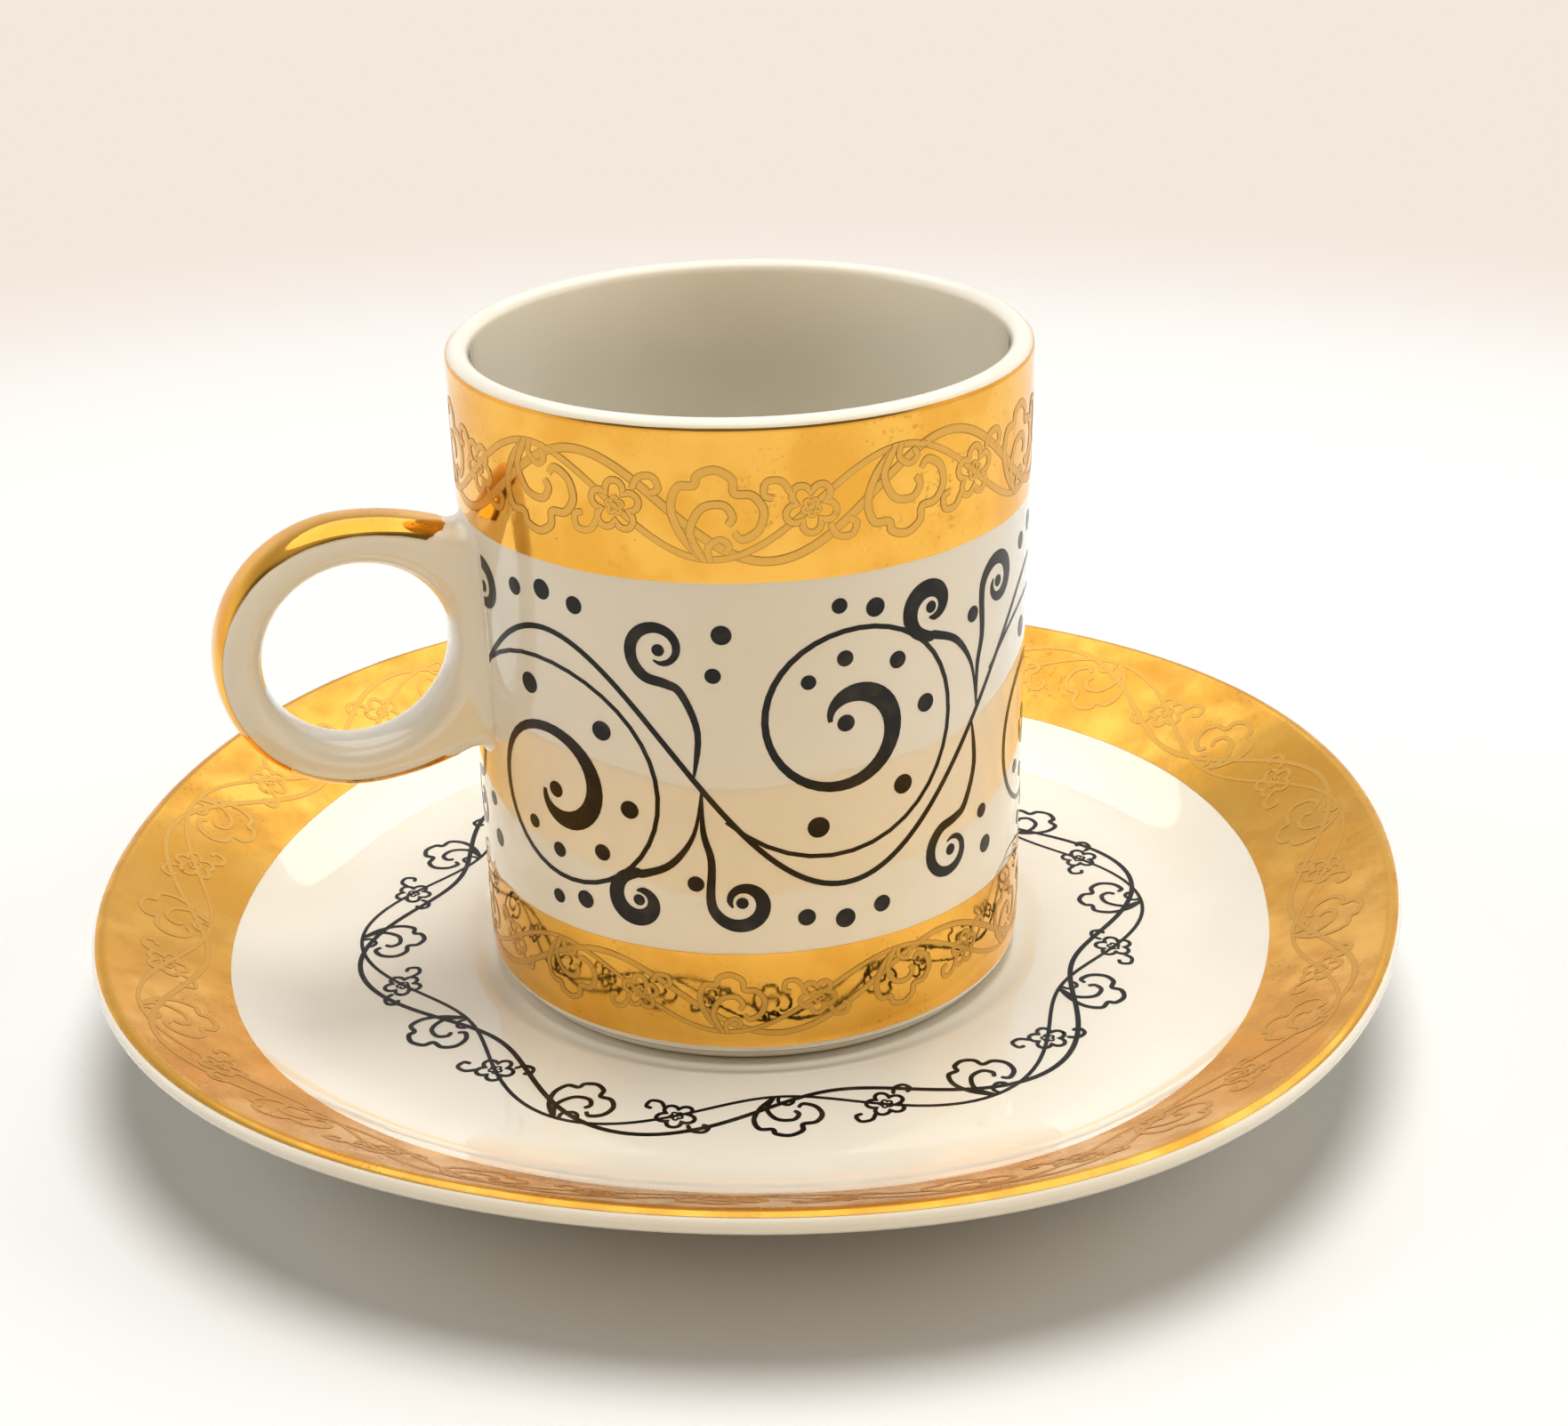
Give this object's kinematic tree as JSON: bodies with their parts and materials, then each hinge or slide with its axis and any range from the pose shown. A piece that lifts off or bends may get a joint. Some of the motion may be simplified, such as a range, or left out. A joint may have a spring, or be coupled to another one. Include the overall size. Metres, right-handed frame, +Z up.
{
  "type": "espresso cup and saucer",
  "caption": "Straight porcelain espresso cup with a ring handle and gold bands, standing on a rounded-square saucer with a gold rim; the cup lifts off.",
  "frame": {"origin": "centre of the saucer's foot ring, on the table", "axes": "+Z up along the cup's axis; the handle points along -X, and its finger hole runs along Y"},
  "size_m": [0.1254, 0.1254, 0.0654],
  "materials": {
    "porcelain": "glossy white glaze",
    "gold": "bright fired gold with a matte etched scroll"
  },
  "bodies": {
    "saucer": {"saucer": "porcelain", "saucer_gold_rim": "gold"},
    "cup": {"cup_body": "porcelain", "cup_handle": "porcelain", "upper_gold_band": "gold", "lower_gold_band": "gold", "handle_gold_line": "gold"}
  },
  "joints": [
    {"name": "cup_lift", "type": "slide", "parent": "saucer", "child": "cup", "axis": [0, 0, 1], "range_m": [0, 0.08]}
  ]
}
